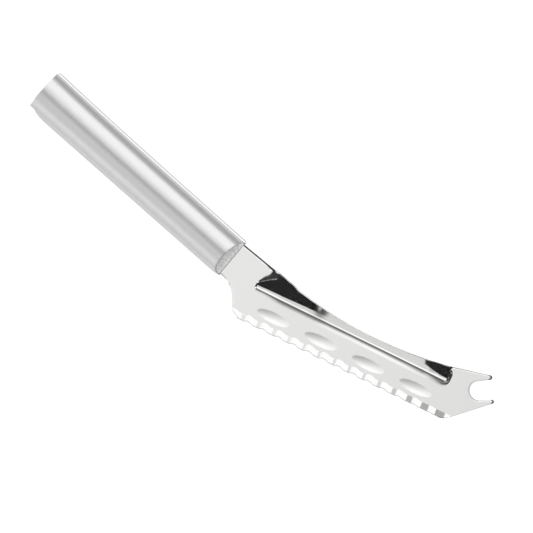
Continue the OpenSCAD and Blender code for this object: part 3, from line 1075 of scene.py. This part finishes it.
def camera_axes():
    """Directions to the right and up in the picture, and from the knife to the camera."""
    view = np.array([math.sin(SIDE_ANGLE) * math.cos(UP_ANGLE), math.sin(UP_ANGLE), 0.0])
    view[2] = math.sqrt(1 - view @ view)
    level_right = np.array([1.0, 0.0, 0.0]) - view[0] * view
    level_right /= np.linalg.norm(level_right)
    level_up = np.cross(view, level_right)
    right = math.cos(IMAGE_TURN) * level_right - math.sin(IMAGE_TURN) * level_up
    up = math.sin(IMAGE_TURN) * level_right + math.cos(IMAGE_TURN) * level_up
    return right, up, view


def add_camera(right, up, view):
    """A far camera with a long lens, whose view puts the middle of the butt on its pixel."""
    offset = (FRAME_PIXELS / 2 - np.array(BUTT_PIXEL)) / PIXELS_PER_MM
    target = to_row([right * offset[0] - up * offset[1]])[0]
    eye = target + view * DISTANCE_MM * MM
    data = bpy.data.cameras.new("camera")
    data.sensor_width = SENSOR
    data.lens = SENSOR * DISTANCE_MM / (FRAME_PIXELS / PIXELS_PER_MM)
    data.clip_end = CLIP_END
    camera = bpy.data.objects.new("camera", data)
    camera.matrix_world = Matrix([(right[i], up[i], view[i], eye[i]) for i in range(3)] + [(0, 0, 0, 1)])
    bpy.context.scene.collection.objects.link(camera)
    bpy.context.scene.camera = camera


# Floor: half its side in metres, its colour and the strength of its glow
FLOOR_HALF = 3.0
FLOOR_COLOUR = (0.3, 0.3, 0.3, 1)
FLOOR_GLOW = 0.85
# Shares of the glow: what diffuse light sees, and what metal mirrors of it across a stretch under the knife
FLOOR_DIFFUSE = 0.6
FLOOR_BAND = (-0.02, 0.02)
FLOOR_MIRRORED = [(0.4, 0.3), (0.47, 1.0), (0.62, 1.0), (0.75, 0.3)]


def add_floor():
    """A pale floor that the camera sees as white, and that lights the knife from below."""
    corners = [(x * FLOOR_HALF, y * FLOOR_HALF, 0) for x, y in ((-1, -1), (1, -1), (1, 1), (-1, 1))]
    mesh = bpy.data.meshes.new("floor")
    mesh.from_pydata(corners, [], [(0, 1, 2, 3)])
    floor = bpy.data.objects.new("floor", mesh)
    bpy.context.scene.collection.objects.link(floor)
    mat, nodes = material("pale_floor")
    path = nodes.add("ShaderNodeLightPath")
    across = nodes.span(nodes.axis(nodes.place(), "Y"), *FLOOR_BAND, 0.0, 1.0)
    seen = nodes.blend(path.outputs["Is Glossy Ray"], FLOOR_DIFFUSE, nodes.ramp(across, FLOOR_MIRRORED))
    seen = nodes.math("MAXIMUM", seen, path.outputs["Is Camera Ray"])
    plain = nodes.add("ShaderNodeBsdfDiffuse", {"Color": FLOOR_COLOUR})
    glow = nodes.add("ShaderNodeEmission", {
        "Color": (1, 1, 1, 1), "Strength": nodes.math("MULTIPLY", seen, FLOOR_GLOW)
    })
    nodes.surface(nodes.add("ShaderNodeAddShader", {0: plain.outputs[0], 1: glow.outputs[0]}))
    mesh.materials.append(mat)


# World: a pale tent, as pairs of an angle round the knife's long axis and the level there. The angle runs
# from straight up towards the spine. The middle, the two ends and what lies far out have their own levels.
TENT = [
    (-180, 0.60), (-125, 0.45), (-100, 0.16), (-88, 0.24), (-75, 0.36), (-60, 0.45), (-45, 0.64), (-32, 0.82),
    (-20, 0.86), (-13, 0.935), (-8, 1.08), (-3.6, 1.10), (-2, 0.71), (4, 0.72), (7, 1.98), (50, 2.0),
    (59, 0.35), (68, 0.03), (98, 0.03), (115, 0.35), (180, 0.6)
]
LEFT_END = [
    (-180, 1.0), (-120, 2.0), (-44, 2.0), (-36, 0.03), (14, 0.03), (24, 0.5), (75, 0.5), (90, 0.7), (180, 0.7)
]
RIGHT_END = [
    (-180, 1.0), (-120, 1.2), (-100, 0.6), (-66, 0.4), (-44, 0.05), (14, 0.05), (18, 1.4), (48, 1.4),
    (60, 0.5), (180, 0.7)
]
FAR_ENDS = [(-180, 0.8), (-110, 0.8), (-95, 0.35), (75, 0.35), (90, 0.8), (180, 0.8)]
BRIGHTEST = 2.0
# Where the ends take over from the middle, as the part of a direction that points along the knife
LEFT_SIDE = (-0.24, -0.31)
RIGHT_SIDE = (0.22, 0.32)
FAR_SIDE = (0.84, 0.92)
# The middle's level leans along the knife from a place: by a rate, at most up so much, and down at two angles
MIDDLE_SIDE = -0.11
LEAN_RATE = -6.5
LEAN_MOST = 0.12
LEAN_DEEPEST = (-45.0, -16.0, -0.62, -0.96)
# Dark gap in the middle: the angles where it sets in and ends, their shift to the left, where it fades
GAP_START = (-1.5, -0.5)
GAP_END = (7.2, 9.0)
GAP_SHIFT = (62.0, 37.0)
GAP_SHIFT_MOST = -0.045
GAP_SIDE = (-0.05, -0.01)
GAP_LEVEL = 0.015
# Dark opening round the camera: radius, softness and level
OPENING_R = 0.22
OPENING_SOFT = 0.03
OPENING_LEVEL = 0.02
# Level that diffuse light sees in every direction
EVEN_LEVEL = 1.05


def tent_level(nodes, direction, view):
    """Level of the tent in a direction."""
    side = nodes.axis(direction, "X")
    turn = nodes.math("ARCTAN2", nodes.axis(direction, "Y"), nodes.axis(direction, "Z"))
    place = nodes.span(turn, -math.pi, math.pi, 0.0, 1.0)
    degrees = nodes.math("MULTIPLY", turn, 180 / math.pi)

    def around(levels):
        """A level for each angle round the long axis, as a ramp."""
        colour = nodes.ramp(place, [((angle + 180) / 360, level / BRIGHTEST) for angle, level in levels])
        grey = nodes.add("ShaderNodeRGBToBW", {"Color": colour}).outputs[0]
        return nodes.math("MULTIPLY", grey, BRIGHTEST)

    # The middle, which leans
    from_middle = nodes.math("ADD", side, -MIDDLE_SIDE)
    lean = nodes.math("MINIMUM", nodes.math("MULTIPLY", from_middle, LEAN_RATE), LEAN_MOST)
    lean = nodes.math("MAXIMUM", lean, nodes.span(degrees, *LEAN_DEEPEST))
    tent = nodes.math("MULTIPLY", around(TENT), nodes.math("ADD", 1.0, lean))

    # The dark gap in it
    off_middle = nodes.math("MINIMUM", nodes.math("MAXIMUM", from_middle, GAP_SHIFT_MOST), 0.0)
    start = nodes.math("ADD", degrees, nodes.math("MULTIPLY", off_middle, GAP_SHIFT[0]))
    end = nodes.math("ADD", degrees, nodes.math("MULTIPLY", off_middle, GAP_SHIFT[1]))
    gap = nodes.span(start, *GAP_START, 0.0, 1.0)
    gap = nodes.math("MULTIPLY", gap, nodes.span(end, *GAP_END, 1.0, 0.0))
    gap = nodes.math("MULTIPLY", gap, nodes.span(side, *GAP_SIDE, 1.0, 0.0))
    tent = nodes.blend(gap, tent, GAP_LEVEL)

    # The two ends, and what lies far out at both
    tent = nodes.blend(nodes.span(side, *LEFT_SIDE, 0.0, 1.0), tent, around(LEFT_END))
    tent = nodes.blend(nodes.span(side, *RIGHT_SIDE, 0.0, 1.0), tent, around(RIGHT_END))
    outwards = nodes.math("ABSOLUTE", side)
    tent = nodes.blend(nodes.span(outwards, *FAR_SIDE, 0.0, 1.0), tent, around(FAR_ENDS))

    # The opening that holds the camera
    apart = nodes.add("ShaderNodeVectorMath", {0: direction, 1: tuple(view)}, operation="DISTANCE")
    opening = nodes.span(apart.outputs["Value"], OPENING_R - OPENING_SOFT, OPENING_R + OPENING_SOFT, 1.0, 0.0)
    return nodes.blend(opening, tent, OPENING_LEVEL)


def add_world(view):
    """White for the camera, even for diffuse light, and the tent for what metal mirrors."""
    world = bpy.data.worlds.new("studio")
    bpy.context.scene.world = world
    world.use_nodes = True
    world.node_tree.nodes.clear()
    nodes = Nodes(world.node_tree)
    direction = nodes.add("ShaderNodeTexCoord").outputs["Generated"]
    path = nodes.add("ShaderNodeLightPath")
    level = nodes.blend(path.outputs["Is Diffuse Ray"], tent_level(nodes, direction, view), EVEN_LEVEL)
    level = nodes.blend(path.outputs["Is Camera Ray"], level, 1.0)
    background = nodes.add("ShaderNodeBackground", {"Color": (1, 1, 1, 1), "Strength": level})
    nodes.add("ShaderNodeOutputWorld", {"Surface": background.outputs[0]})


right, up, view = camera_axes()
add_camera(right, up, view)
add_floor()
add_world(view)
bpy.context.scene.view_settings.view_transform = "Standard"
